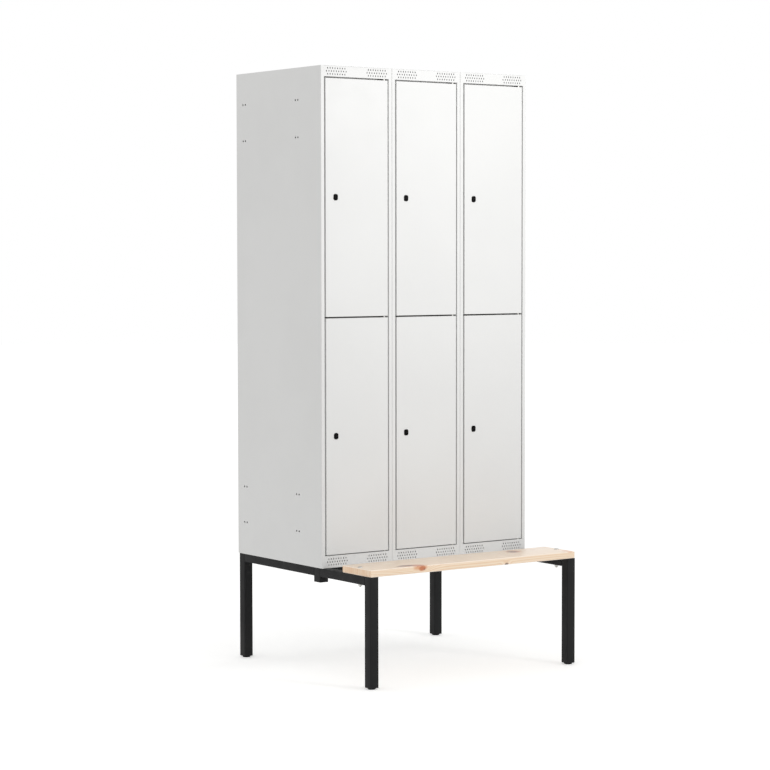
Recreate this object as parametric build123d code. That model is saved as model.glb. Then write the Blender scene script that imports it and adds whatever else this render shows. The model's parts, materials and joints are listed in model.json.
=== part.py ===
"""Three two-tier steel lockers side by side on a black tube stand that carries a pine bench.

Lengths are in millimetres. X runs along the row of lockers, Y from the bench towards the back and
Z up. The origin lies on the floor, under the middle of the whole footprint.
"""
import os
from math import hypot

from build123d import *

os.makedirs("parts", exist_ok=True)

# Driving sizes of the whole
module_width = 300.0
cabinet_height = 1740.0
cabinet_depth = 550.0
stand_height = 383.0
bench_reach = 291.0
bays = ("left", "middle", "right")

# Folded sheet steel
sheet = 0.8
inner_bend = 0.4
flange = 12.0
floor_flange = 4.0
corner_bend = 2.5
corner_relief = 2.0
overrun = 2.0
quarter_turn = 90
hexagon_sides = 6

# Front frame round the doors
stile_width = 14.0
upper_fascia_height = 38.0
lower_fascia_height = 41.8
fascia_flange = 15.0
stop_width = 8.0
stop_clearance = 0.4

# Doors and the gaps round them
lock_side_gap = 5.5
hinge_side_gap = 4.2
head_gap = 4.6
sill_gap = 3.2
middle_gap = 5.2
door_depth = 18.0
door_lip = 10.0
stiffener_web = 50.0
stiffener_foot = 12.0
stiffener_depth = 12.0
stiffener_end = 22.0

# Pivot pins that the doors turn on
hinge_inset = 12.5
hinge_set_back = 6.0
pin_radius = 3.0
pin_clearance = 0.05
pin_reach = 12.0
pin_chamfer = 0.8
collar_radius = 4.0
collar_clearance = 0.3
tongue_thickness = 2.0
tongue_lap = 30.0
swing_clearance = 1.5

# Cam locks
lock_inset = 41.0
lock_lift = 2.2
escutcheon_width = 18.0
escutcheon_height = 22.0
escutcheon_corner = 6.5
escutcheon_proud = 2.5
barrel_radius = 8.0
barrel_clearance = 0.1
barrel_nut_radius = 12.0
barrel_nut_height = 5.0
plug_radius = 5.5
plug_clearance = 0.05
plug_recess = 0.5
key_slot_width = 1.6
key_slot_height = 6.5
key_slot_depth = 6.0
cam_gap = 0.8
cam_step = 0.3
cam_thickness = 2.0
cam_width = 14.0
cam_reach = 45.0
cam_nut_radius = 5.0
cam_nut_height = 3.0

# Slots in the fascias
slot_width = 3.2
slot_height = 5.4
slot_pitch = 10.25
slot_row_pitch = 10.2
slot_group_inset = 64.8
slots_per_row = (8, 9, 8)

# Coupling holes in the side panels
coupling_radius = 3.5
coupling_pair = 16.0
coupling_front = 152.2
coupling_rear = 52.0
coupling_low = 117.0
coupling_high = 112.0
coupling_row_pitch = 130.0

# Shelf edge and coat hooks
shelf_drop = 25.0
hook_strip = 16.0
hook_thickness = 3.0
hook_plate = 22.0
hook_drop = 40.0
hook_mouth = 26.0
hook_tip = 16.0
hook_bend = 8.0
hook_top_bend = 2.0

# Tube stand
stand_inset = 1.5
leg_width = 35.0
tube_wall = 1.5
tube_corner = 3.0
rail_height = 30.0
rear_leg_set_back = 3.4
post_set_back = 14.2
post_depth = 40.0
post_drop = 20.5
post_cap = 2.0

# Levelling feet
foot_gap = 5.0
foot_radius = 15.5
foot_base_radius = 12.5
stem_radius = 4.0
stem_clearance = 0.1
stem_length = 38.0
insert_clearance = 0.1
insert_height = 20.0

# Seat board and its bolts
seat_depth = 170.0
seat_thickness = 25.0
seat_inset = 3.5
seat_round = 2.5
bolt_radius = 4.0
bolt_clearance = 0.25
bolt_head_radius = 9.0
bolt_head_height = 3.5
bolt_washer_radius = 8.0
bolt_washer_height = 1.6
bolt_nut_radius = 7.5
bolt_nut_height = 6.5
bolt_tip = 3.0

# Screws that couple the lockers and hold them on the stand
screw_clearance = 0.2
screw_head_radius = 5.8
screw_head_height = 3.3
screw_nut_height = 5.0
screw_tip = 1.5
stand_screw_radius = 3.0
stand_screw_length = 12.0

# Places that follow from the sizes above
outer_bend = inner_bend + sheet
row_width = module_width * len(bays)
front = (bench_reach - cabinet_depth) / 2
back = front + cabinet_depth
bench_front = front - bench_reach
base = stand_height
top = base + cabinet_height
return_depth = door_depth + stop_clearance
door_width = module_width - 2 * stile_width - lock_side_gap - hinge_side_gap
door_height = (
    cabinet_height - upper_fascia_height - lower_fascia_height - head_gap - middle_gap - sill_gap
) / 2
door_bottoms = {
    "lower": base + lower_fascia_height + sill_gap,
    "upper": base + lower_fascia_height + sill_gap + door_height + middle_gap,
}
hinge_y = front + hinge_set_back
stile_flat = stile_width - outer_bend
door_from_left = stile_width + lock_side_gap
hinge_from_left = door_from_left + door_width - hinge_inset
lock_from_left = door_from_left + lock_inset
lock_from_foot = door_height / 2 + lock_lift
swing_radius = hypot(hinge_inset, door_depth - hinge_set_back)
shelf_set_back = hinge_set_back + swing_radius + swing_clearance
pivot_level = door_bottoms["upper"] - middle_gap / 2
shelf_top = pivot_level - tongue_thickness / 2
cam_set_back = return_depth + sheet + cam_gap
leg_centre_x = row_width / 2 - stand_inset - leg_width / 2
post_centre_y = front + post_set_back + post_depth / 2
rear_leg_centre_y = back - rear_leg_set_back - leg_width / 2
bench_leg_centre_y = bench_front + leg_width / 2
leg_bottom = foot_gap
bench_bolt_y = bench_front + seat_depth / 2
coupling_rows = (
    base + coupling_low,
    base + coupling_low + coupling_row_pitch,
    top - coupling_high - coupling_row_pitch,
    top - coupling_high,
)
coupling_columns = [
    centre + side * coupling_pair / 2
    for centre in (front + coupling_front, back - coupling_rear)
    for side in (-1, 1)
]
screw_columns = (coupling_columns[0], coupling_columns[-1])
screw_rows = (coupling_rows[0], coupling_rows[-1])


def write(shape, node):
    """Save one node under its own name."""
    export_step(shape, f"parts/{node}.step")


def block(x, y, z):
    """Box between a low and a high value on each axis."""
    spans = (x, y, z)
    middle = [(low + high) / 2 for low, high in spans]
    return Pos(*middle) * Box(*[high - low for low, high in spans])


def rod(radius, start, end, axis):
    """Round bar from one point to another along X, Y or Z."""
    length = (Vector(*end) - Vector(*start)).length
    direction = {"x": (1, 0, 0), "y": (0, 1, 0), "z": (0, 0, 1)}[axis]
    return extrude(Plane(start, z_dir=direction) * Circle(radius), length)


def upright(radius, x, y, low, high):
    """Round bar that stands between two levels."""
    return rod(radius, (x, y, low), (x, y, high), "z")


def folded(points, radii, thickness=sheet):
    """Section of a sheet that is folded along an outline and lies on the left of its path."""
    path = FilletPolyline(*points, radius=radii)
    return make_face(offset(path, thickness, side=Side.LEFT).edges())


def bay_left(index):
    """X of a locker's left side."""
    return index * module_width - row_width / 2


def hinge_x(index):
    """X of the axis that both doors of a locker turn on."""
    return bay_left(index) + hinge_from_left


def side_panel(index, hand):
    """Side with its stile folded in at the front and the sixteen coupling holes.

    The left side's stile ends in the stop that the doors close against and the right side's
    stile folds back outwards, clear of the doors' swing. Beside the fascias both are cut back
    to the flat of the stile, which the fascia's face meets edge to edge.
    """
    last = stile_width + stop_width if hand == "left" else stile_width - flange
    last_bend = inner_bend if hand == "left" else outer_bend
    outline = [
        (0, cabinet_depth), (0, 0), (stile_width, 0), (stile_width, return_depth), (last, return_depth),
    ]
    section = folded(outline, [corner_bend, outer_bend, last_bend])
    if hand == "right":
        section = mirror(section, Plane.YZ)
    x = bay_left(index) if hand == "left" else bay_left(index) + module_width
    panel = extrude(Plane((x, front, base)) * section, cabinet_height)
    inner = (bay_left(index) + sheet, bay_left(index) + module_width - sheet)
    for level in ((top - sheet, top + overrun), (base - overrun, base + sheet)):
        panel -= block(inner, (front + sheet, back + overrun), level)
    behind_stop = front + return_depth + sheet + overrun
    fold = (bay_left(index) + stile_flat, bay_left(index) + module_width - stile_flat)
    for level in ((top - upper_fascia_height, top), (base, base + lower_fascia_height)):
        panel -= block(fold, (front - overrun, behind_stop), level)
        panel -= block(inner, (front + sheet + inner_bend, behind_stop), level)
    for y in coupling_columns:
        for z in coupling_rows:
            panel -= rod(coupling_radius, (x - sheet - overrun, y, z), (x + sheet + overrun, y, z), "x")
    return panel


def back_panel(index):
    """Flat back between the two sides, carried by the rear folds of roof, shelf and floor."""
    left, right = bay_left(index) + sheet, bay_left(index) + module_width - sheet
    return block((left, right), (back - sheet, back), (base, top))


def tray(index, y_front, depth, drop_front):
    """Flat sheet with edges folded down inside a locker, its top at zero.

    The corners between two folds are cut out.
    """
    left, right = bay_left(index) + sheet, bay_left(index) + module_width - sheet
    rear = back - sheet
    pan = block((left, right), (y_front, rear), (-depth, 0))
    openings = [pan.faces().sort_by(Axis.Z)[0]]
    if not drop_front:
        openings.append(pan.faces().sort_by(Axis.Y)[0])
    pan = offset(pan, amount=-sheet, openings=openings)
    low = -depth - overrun
    corner = sheet + corner_relief
    for x in ((left - overrun, left + corner), (right - corner, right + overrun)):
        pan -= block(x, (rear - corner, rear + overrun), (low, -sheet))
        if not drop_front:
            pan -= block(x, (y_front - overrun, y_front + corner_relief), (low, -sheet))
    return pan


def end_sheet(index, depth):
    """Roof or floor sheet whose front edge closes the fascia, its top at zero."""
    left = bay_left(index)
    edge = (left + stile_flat, left + module_width - stile_flat)
    return tray(index, front + sheet, depth, False) + block(edge, (front, front + outer_bend), (-sheet, 0))


def roof(index):
    """Roof with its edges folded down."""
    return Pos(0, 0, top) * end_sheet(index, flange)


def floor(index):
    """Floor: the roof turned over with low folds, and holes for the screws into the stand."""
    pan = Pos(0, 0, base) * mirror(end_sheet(index, floor_flange), Plane.XY)
    for x, y in stand_screw_places():
        hole = stand_screw_radius + screw_clearance
        pan -= upright(hole, x, y, base - overrun, base + sheet + overrun)
    return pan


def shelf(index):
    """Shelf between the two tiers with a deeper fold at its front edge."""
    left, right = bay_left(index) + sheet, bay_left(index) + module_width - sheet
    y = front + shelf_set_back
    board = tray(index, y, flange, True)
    board += block((left, right), (y, y + sheet), (-shelf_drop, 0))
    return Pos(0, 0, shelf_top) * board


def slot_places(height):
    """Centres of one fascia's slots, from the middle of its face."""
    for group in (-1, 1):
        for row, count in enumerate(slots_per_row):
            z = (row - (len(slots_per_row) - 1) / 2) * slot_row_pitch
            for number in range(count):
                x = group * (module_width / 2 - slot_group_inset) + (number - (count - 1) / 2) * slot_pitch
                yield x, height / 2 + z


def fascia(index, height):
    """Slotted face above a door, folded back at both edges and down as a stop, its foot at zero.

    The stop starts beside the stile's own and ends short of the hinge side, where the door's
    rear edge swings through.
    """
    left = bay_left(index) + stile_flat
    right = bay_left(index) + module_width - stile_flat
    roof_line = height - sheet
    outline = [
        (fascia_flange, roof_line), (0, roof_line), (0, 0), (return_depth, 0),
        (return_depth, -stop_width),
    ]
    section = folded(outline, [outer_bend, outer_bend, inner_bend])
    face = extrude(Plane((left, front, 0), x_dir=(0, 1, 0), z_dir=(1, 0, 0)) * section, right - left)
    clear = hinge_x(index) - swing_radius - swing_clearance
    stop_left = bay_left(index) + stile_width + stop_width
    for x in ((left - overrun, stop_left), (clear, right + overrun)):
        y = (front + return_depth - inner_bend, front + return_depth + sheet + overrun)
        face -= block(x, y, (-stop_width - overrun, sheet + inner_bend))
    middle = bay_left(index) + module_width / 2
    slots = Sketch() + [Pos(x, z) * Rectangle(slot_width, slot_height) for x, z in slot_places(height)]
    plane = Plane((middle, front + sheet + overrun, 0), x_dir=(1, 0, 0), z_dir=(0, -1, 0))
    return face - extrude(plane * slots, sheet + 2 * overrun)


def door(index, tier):
    """Door: a pan folded back all round, with lips, two pivot holes and the lock's hole."""
    left = bay_left(index) + door_from_left
    low = door_bottoms[tier]
    x, z = (left, left + door_width), (low, low + door_height)
    pan = block(x, (front, front + door_depth), z)
    pan = fillet(pan.faces().sort_by(Axis.Y)[0].edges(), outer_bend)
    inside = block(
        (x[0] + sheet, x[1] - sheet),
        (front + sheet, front + door_depth - sheet),
        (z[0] + sheet, z[1] - sheet),
    )
    inside = fillet(inside.faces().sort_by(Axis.Y)[0].edges(), inner_bend)
    window = block(
        (x[0] + door_lip, x[1] - door_lip),
        (front + door_depth / 2, front + door_depth + overrun),
        (z[0] + door_lip, z[1] - door_lip),
    )
    pan = pan - inside - window
    for level in z:
        hole = pin_radius + pin_clearance
        pan -= upright(hole, hinge_x(index), hinge_y, level - overrun, level + overrun)
    lock_x, lock_z = bay_left(index) + lock_from_left, low + lock_from_foot
    hole_start = (lock_x, front - overrun, lock_z)
    hole_end = (lock_x, front + sheet + overrun, lock_z)
    return pan - rod(barrel_radius + barrel_clearance, hole_start, hole_end, "y")


def stiffener(index, tier):
    """Upright hat section welded inside the door's face."""
    middle = bay_left(index) + door_from_left + door_width / 2
    half, foot = stiffener_web / 2, stiffener_web / 2 + stiffener_foot
    outline = [
        (foot, 0), (half, 0), (half, stiffener_depth), (-half, stiffener_depth), (-half, 0), (-foot, 0),
    ]
    section = Pos(0, sheet) * folded(outline, [inner_bend, outer_bend, outer_bend, inner_bend])
    start = (middle, front + sheet, door_bottoms[tier] + stiffener_end)
    return extrude(Plane(start) * section, door_height - 2 * stiffener_end)


def lock_place(index, tier):
    """Plane on the door's face at the lock, looking into the door, its Y pointing down."""
    origin = (bay_left(index) + lock_from_left, front, door_bottoms[tier] + lock_from_foot)
    return Plane(origin, x_dir=(1, 0, 0), z_dir=(0, 1, 0))


def lock_housing(index, tier):
    """Escutcheon and barrel in one, with the nut that clamps them to the door."""
    place = lock_place(index, tier)
    plate = RectangleRounded(escutcheon_width, escutcheon_height, escutcheon_corner)
    escutcheon = extrude(place * plate, -escutcheon_proud)
    escutcheon = chamfer(escutcheon.faces().sort_by(Axis.Y)[0].edges(), plug_recess)
    barrel = extrude(place * Circle(barrel_radius), cam_set_back - cam_step)
    bore = extrude(place.offset(-escutcheon_proud - overrun) * Circle(plug_radius + plug_clearance),
                   cam_set_back + escutcheon_proud + 2 * overrun)
    thread = barrel_radius + barrel_clearance
    nut = hex_nut(barrel_nut_radius, thread, barrel_nut_height, place.offset(sheet))
    return Compound([escutcheon + barrel - bore, nut])


def lock_cylinder(index, tier):
    """Plug with its key slot, and behind it the cam, hanging down while the lock is open."""
    place = lock_place(index, tier)
    face = plug_recess - escutcheon_proud
    plug = extrude(place.offset(face) * Circle(plug_radius), cam_set_back - face)
    key_slot = Rectangle(key_slot_width, key_slot_height)
    plug -= extrude(place.offset(face) * key_slot, key_slot_depth)
    span = cam_reach - cam_width / 2
    arm = Pos(0, span / 2) * Rot(0, 0, quarter_turn) * SlotCenterToCenter(span, cam_width)
    arm = extrude(place.offset(cam_set_back) * arm, cam_thickness)
    nut_place = place.offset(cam_set_back + cam_thickness)
    nut = extrude(nut_place * RegularPolygon(cam_nut_radius, hexagon_sides), cam_nut_height)
    return Compound([plug, arm, nut])


def hinge_pin(x, start, end):
    """Pin from its weld to its free end in the door, both given as levels."""
    low, high = min(start, end), max(start, end)
    pin = rod(pin_radius, (x, hinge_y, low), (x, hinge_y, high), "z")
    free = Axis.Z if end > start else -Axis.Z
    return chamfer(pin.faces().sort_by(free)[-1].edges(), pin_chamfer)


def hinge_pins():
    """Pins with collars at the top and foot of each locker, and a tongue with two in the middle."""
    pins = []
    for index in range(len(bays)):
        x = hinge_x(index)
        foot, head = base + lower_fascia_height, top - upper_fascia_height
        low_collar = upright(collar_radius, x, hinge_y, foot, foot + sill_gap - collar_clearance)
        pins.append(low_collar + hinge_pin(x, foot, foot + sill_gap + pin_reach))
        high_collar = upright(collar_radius, x, hinge_y, head - head_gap + collar_clearance, head)
        pins.append(high_collar + hinge_pin(x, head, head - head_gap - pin_reach))
        half = middle_gap / 2 - collar_clearance
        reach = middle_gap / 2 + pin_reach
        rear = front + shelf_set_back + tongue_lap
        outline = Rectangle(2 * collar_radius, rear - hinge_y, align=(Align.CENTER, Align.MIN))
        outline += Circle(collar_radius)
        tongue = extrude(Plane((x, hinge_y, shelf_top)) * outline, tongue_thickness)
        tongue += upright(collar_radius, x, hinge_y, pivot_level - half, pivot_level + half)
        tongue += hinge_pin(x, pivot_level, pivot_level + reach)
        pins.append(tongue + hinge_pin(x, pivot_level, pivot_level - reach))
    return Compound(pins)


def coat_hook(x, ceiling):
    """Double hook of two bent strips back to back under a ceiling."""
    outline = [
        (hook_plate, 0), (0, 0), (0, -hook_drop), (hook_mouth, -hook_drop),
        (hook_mouth, hook_tip - hook_drop),
    ]
    bends = [hook_top_bend + hook_thickness] + 2 * [hook_bend + hook_thickness]
    middle = front + cabinet_depth / 2
    plane = Plane((x - hook_strip / 2, middle, ceiling), x_dir=(0, 1, 0), z_dir=(1, 0, 0))
    strip = extrude(plane * folded(outline, bends, hook_thickness), hook_strip)
    return [strip, mirror(strip, Plane((x, middle, ceiling), z_dir=(0, 1, 0)))]


def coat_hooks():
    """One double hook under each roof and each shelf."""
    middles = [bay_left(index) + module_width / 2 for index in range(len(bays))]
    ceilings = (shelf_top - sheet, top - sheet)
    return Compound([strip for x in middles for z in ceilings for strip in coat_hook(x, z)])


def tube(plane, width, height, length):
    """Square-cornered hollow tube drawn from a plane, its section centred there."""
    outer = RectangleRounded(width, height, tube_corner)
    bore = RectangleRounded(width - 2 * tube_wall, height - 2 * tube_wall, tube_corner - tube_wall)
    return extrude(plane * (outer - bore), length)


def leg(side, y):
    """Upright tube from its foot to the underside of the cabinet or the seat."""
    return tube(Plane((side * leg_centre_x, y, leg_bottom)), leg_width, leg_width, base - leg_bottom)


def along_y(x, start, end):
    """Rail from front to back under the base line."""
    plane = Plane((x, start, base - rail_height / 2), x_dir=(1, 0, 0), z_dir=(0, 1, 0))
    return tube(plane, leg_width, rail_height, end - start)


def side_rail(side):
    """Rail from the rear leg to the short capped post that it is welded to."""
    x = side * leg_centre_x
    post_front = front + post_set_back
    rail = along_y(x, post_front + post_depth, rear_leg_centre_y - leg_width / 2)
    low = base - rail_height - post_drop
    post = tube(Plane((x, post_centre_y, low)), leg_width, post_depth, base - low)
    end = RectangleRounded(leg_width, post_depth, tube_corner)
    cap = extrude(Plane((x, post_centre_y, low)) * end, post_cap)
    return rail + (post + cap)


def bench_arm(side):
    """Rail from the post forward to the bench's leg, with the hole for the seat's bolt."""
    x = side * leg_centre_x
    arm = along_y(x, bench_front + leg_width, front + post_set_back)
    hole = bolt_radius + bolt_clearance
    return arm - upright(hole, x, bench_bolt_y, base - rail_height - overrun, base + overrun)


def cross_rail(y):
    """Rail across the stand with holes for the cabinet's screws."""
    length = 2 * leg_centre_x - leg_width
    plane = Plane((-length / 2, y, base - rail_height / 2), x_dir=(0, 1, 0), z_dir=(1, 0, 0))
    rail = tube(plane, leg_width, rail_height, length)
    for x, screw_y in stand_screw_places():
        if abs(screw_y - y) < leg_width:
            hole = stand_screw_radius + screw_clearance
            rail -= upright(hole, x, y, base - tube_wall - overrun, base + overrun)
    return rail


def seat_board():
    """Pine board that lies across both bench arms, with two bolt holes."""
    half = row_width / 2 - seat_inset
    board = block((-half, half), (bench_front, bench_front + seat_depth), (base, base + seat_thickness))
    board = fillet(board.edges(), seat_round)
    for side in (-1, 1):
        hole, x = bolt_radius + bolt_clearance, side * leg_centre_x
        board -= upright(hole, x, bench_bolt_y, base - overrun, base + seat_thickness + overrun)
    return board


def hex_nut(radius, hole, height, place):
    """Six-sided nut on a plane."""
    return extrude(place * (RegularPolygon(radius, hexagon_sides) - Circle(hole)), height)


def bench_bolt():
    """Bolt with a low domed head, its middle on the seat's top at zero."""
    dome = (bolt_head_radius**2 + bolt_head_height**2) / (2 * bolt_head_height)
    across = (-bolt_head_radius, bolt_head_radius)
    head = Pos(0, 0, bolt_head_height - dome) * Sphere(dome)
    head &= block(across, across, (0, bolt_head_height))
    grip = seat_thickness + rail_height + bolt_washer_height + bolt_nut_height + bolt_tip
    return head + upright(bolt_radius, 0, 0, -grip, 0)


def bench_bolts():
    """Bolt, washer and nut at each end of the seat."""
    pieces = []
    washer_low = base - rail_height - bolt_washer_height
    nut_low = washer_low - bolt_nut_height
    hole = bolt_radius + bolt_clearance
    for side in (-1, 1):
        x = side * leg_centre_x
        ring = Circle(bolt_washer_radius) - Circle(hole)
        washer = extrude(Plane((x, bench_bolt_y, washer_low)) * ring, bolt_washer_height)
        nut = hex_nut(bolt_nut_radius, hole, bolt_nut_height, Plane((x, bench_bolt_y, nut_low)))
        pieces += [Pos(x, bench_bolt_y, base + seat_thickness) * bench_bolt(), washer, nut]
    return Compound(pieces)


def levelling_feet():
    """Four screw feet, each in the insert that closes its leg."""
    pieces = []
    bore = leg_width - 2 * tube_wall - 2 * insert_clearance
    standing = (Align.CENTER, Align.CENTER, Align.MIN)
    for y in (bench_leg_centre_y, rear_leg_centre_y):
        for side in (-1, 1):
            place = Plane((side * leg_centre_x, y, 0))
            pad = place.location * Cone(foot_base_radius, foot_radius, foot_gap, align=standing)
            stem = extrude(place * Circle(stem_radius), stem_length)
            plug = RectangleRounded(bore, bore, tube_corner - tube_wall)
            plug -= Circle(stem_radius + stem_clearance)
            pieces += [pad + stem, extrude(place.offset(leg_bottom) * plug, insert_height)]
    return Compound(pieces)


def stand_screw_places():
    """Where each locker is screwed to the two cross rails."""
    for index in range(len(bays)):
        for y in (post_centre_y, rear_leg_centre_y):
            yield bay_left(index) + module_width / 2, y


def cabinet_screws():
    """Screws and nuts through neighbouring sides, and screws down into the stand."""
    pieces = []
    shank = coupling_radius - screw_clearance
    for index in range(1, len(bays)):
        seam = bay_left(index)
        nut_x = seam + sheet
        for y in screw_columns:
            for z in screw_rows:
                head_start = (seam - sheet - screw_head_height, y, z)
                head = rod(screw_head_radius, head_start, (seam - sheet, y, z), "x")
                end = nut_x + screw_nut_height + screw_tip
                head += rod(shank, (seam - sheet, y, z), (end, y, z), "x")
                place = Plane((nut_x, y, z), z_dir=(1, 0, 0))
                pieces += [head, hex_nut(screw_head_radius, coupling_radius, screw_nut_height, place)]
    for x, y in stand_screw_places():
        seat = base + sheet
        head = upright(screw_head_radius, x, y, seat, seat + screw_head_height)
        pieces.append(head + upright(stand_screw_radius, x, y, seat - stand_screw_length, seat))
    return Compound(pieces)


for number, bay in enumerate(bays):
    write(side_panel(number, "left"), f"{bay}_locker_left_side")
    write(side_panel(number, "right"), f"{bay}_locker_right_side")
    write(back_panel(number), f"{bay}_locker_back")
    write(roof(number), f"{bay}_locker_roof")
    write(floor(number), f"{bay}_locker_floor")
    write(shelf(number), f"{bay}_locker_shelf")
    for tier in door_bottoms:
        write(door(number, tier), f"{bay}_{tier}_door")
        write(stiffener(number, tier), f"{bay}_{tier}_door_stiffener")
        write(lock_housing(number, tier), f"{bay}_{tier}_lock_housing")
        write(lock_cylinder(number, tier), f"{bay}_{tier}_lock_cylinder")

upper = [Pos(0, 0, top - upper_fascia_height) * fascia(n, upper_fascia_height) for n in range(len(bays))]
lower = [
    Pos(0, 0, base + lower_fascia_height) * mirror(fascia(n, lower_fascia_height), Plane.XY)
    for n in range(len(bays))
]
write(Compound(upper), "upper_fascias")
write(Compound(lower), "lower_fascias")
write(hinge_pins(), "hinge_pins")
write(coat_hooks(), "coat_hooks")
write(cabinet_screws(), "cabinet_screws")

for side, hand in ((-1, "left"), (1, "right")):
    write(leg(side, rear_leg_centre_y), f"rear_leg_{hand}")
    write(leg(side, bench_leg_centre_y), f"bench_leg_{hand}")
    write(side_rail(side), f"side_rail_{hand}")
    write(bench_arm(side), f"bench_arm_{hand}")
write(cross_rail(rear_leg_centre_y), "rear_cross_rail")
write(cross_rail(post_centre_y), "front_cross_rail")
write(levelling_feet(), "levelling_feet")
write(seat_board(), "seat_board")
write(bench_bolts(), "bench_bolts")
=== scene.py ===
"""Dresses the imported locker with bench: finishes, tubes, feet, seat, bolts, locks and a stage."""

import json
import math

import bmesh
import bpy
import numpy as np
from mathutils import Matrix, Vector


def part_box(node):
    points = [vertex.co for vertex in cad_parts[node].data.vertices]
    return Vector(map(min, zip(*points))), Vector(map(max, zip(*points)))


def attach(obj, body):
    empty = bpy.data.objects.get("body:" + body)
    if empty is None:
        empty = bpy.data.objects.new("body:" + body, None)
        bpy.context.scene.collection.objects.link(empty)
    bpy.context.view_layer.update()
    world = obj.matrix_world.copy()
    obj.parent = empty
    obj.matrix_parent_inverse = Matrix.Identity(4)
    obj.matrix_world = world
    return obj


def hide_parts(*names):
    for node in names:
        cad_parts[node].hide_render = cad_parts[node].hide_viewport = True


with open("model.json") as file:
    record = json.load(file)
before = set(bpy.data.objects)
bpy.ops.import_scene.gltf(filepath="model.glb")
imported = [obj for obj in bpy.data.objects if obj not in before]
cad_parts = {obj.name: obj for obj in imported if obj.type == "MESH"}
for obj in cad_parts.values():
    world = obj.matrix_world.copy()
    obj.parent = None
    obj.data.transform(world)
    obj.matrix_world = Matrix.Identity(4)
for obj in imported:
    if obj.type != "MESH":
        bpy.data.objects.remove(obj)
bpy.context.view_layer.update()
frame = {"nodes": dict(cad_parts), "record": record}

bl_info = {
    "name": "Locker with bench",
    "version": (1, 0, 0),
    "blender": (4, 5, 0),
    "location": "View3D > Sidebar > Locker",
    "description": "Finishes and detail for a steel locker on a tube stand with a pine bench",
    "category": "Object",
}

MM = 0.001
BAYS = ("left", "middle", "right")
TIERS = ("lower", "upper")
SIDES = ("left", "right")
CARCASS = "carcass"
X, Y, Z = np.eye(3)


def mm(sizes):
    """Sizes in millimetres, as metres."""
    return [size * MM for size in sizes]


def span(name):
    """Lowest corner, highest corner and middle of a CAD node's box."""
    low, high = (np.array(corner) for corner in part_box(name))
    return low, high, (low + high) / 2


# Settings


def linear(code):
    """Linear RGBA of an sRGB hex colour, by the curve of the sRGB standard."""
    values = [int(code[i : i + 2], 16) / 255 for i in (1, 3, 5)]
    low = [v / 12.92 for v in values]
    high = [((v + 0.055) / 1.055) ** 2.4 for v in values]
    return tuple(a if v <= 0.04045 else b for v, a, b in zip(values, low, high)) + (1.0,)


def colour_setting(name, code, description):
    """Colour property with its default from a hex code."""
    return bpy.props.FloatVectorProperty(
        name=name,
        description=description,
        subtype="COLOR",
        size=4,
        min=0,
        max=1,
        default=linear(code),
    )


def length_setting(name, default, description):
    """Length property in metres."""
    return bpy.props.FloatProperty(
        name=name, description=description, subtype="DISTANCE", unit="LENGTH", default=default
    )


def angle_setting(name, default, description):
    """Angle property in radians."""
    return bpy.props.FloatProperty(
        name=name, description=description, subtype="ANGLE", unit="ROTATION", default=default
    )


def number_setting(name, default, description):
    """Plain number property."""
    return bpy.props.FloatProperty(name=name, description=description, default=default)


def place_setting(name, default, description):
    """Point property in metres."""
    return bpy.props.FloatVectorProperty(
        name=name, description=description, subtype="TRANSLATION", unit="LENGTH", default=default
    )


class LockerFinish(bpy.types.PropertyGroup):
    """Colours of the object's own finishes."""

    paint: colour_setting("Cabinet paint", "#DDDDDC", "Light grey powder coat")
    paint_shade: colour_setting("Paint shade", "#DBDBDA", "The same paint where its coat is thin")
    stand: colour_setting("Stand paint", "#131314", "Black powder coat")
    stand_shade: colour_setting("Stand shade", "#19191A", "The same paint where it is dusty")
    pine: colour_setting("Pine", "#F6E1C7", "Pale wood of the spring growth")
    pine_ring: colour_setting("Pine rings", "#E6BD93", "Darker wood of the summer growth")
    # Paler colour that the board's rounded edges are mixed towards: a painted highlight.
    pine_edge_highlight: colour_setting("Pine edges", "#FFF4E8", "Sanded edges, where the lacquer is thin")
    knot_flare: colour_setting("Knot flare", "#D9955F", "Amber wood that runs out of a knot")
    knot_core: colour_setting("Knot core", "#BE6024", "Resin-rich wood of a knot")
    knot_bark: colour_setting("Knot bark", "#552A1A", "Dark line of bark round a knot")
    plastic: colour_setting("Black plastic", "#050505", "Glass-filled nylon")
    plastic_bloom: colour_setting("Plastic bloom", "#0D0D0D", "The same nylon where it is rubbed")
    zinc: colour_setting("Zinc", "#CCCBC7", "Zinc plate on steel")
    zinc_cloud: colour_setting("Zinc clouds", "#B4B2AE", "The same plate where it has dulled")
    key_cover: colour_setting("Key cover", "#48494B", "Sprung cover of the keyhole")


class LockerSizes(bpy.types.PropertyGroup):
    """Sizes that the detail adds to the frame's own."""

    tube_corner: length_setting("Tube corner", 3 * MM, "Outside radius of the tube's corners")
    tube_wall: length_setting("Tube wall", 1.5 * MM, "Thickness of the tube's wall")
    cut_edge: length_setting("Cut edge", 0.3 * MM, "Width of the broken edge on cut metal")
    weld: length_setting("Weld", 4 * MM, "Leg of the fillet welds")
    weld_ripple: length_setting("Weld ripple", 2.2 * MM, "Spacing of the welds' ripples")
    seat_round: length_setting("Seat edge", 2.5 * MM, "Radius of the seat board's edges")
    cap: length_setting("Post cap", 2 * MM, "Thickness of the plate that closes a post's foot")


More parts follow.
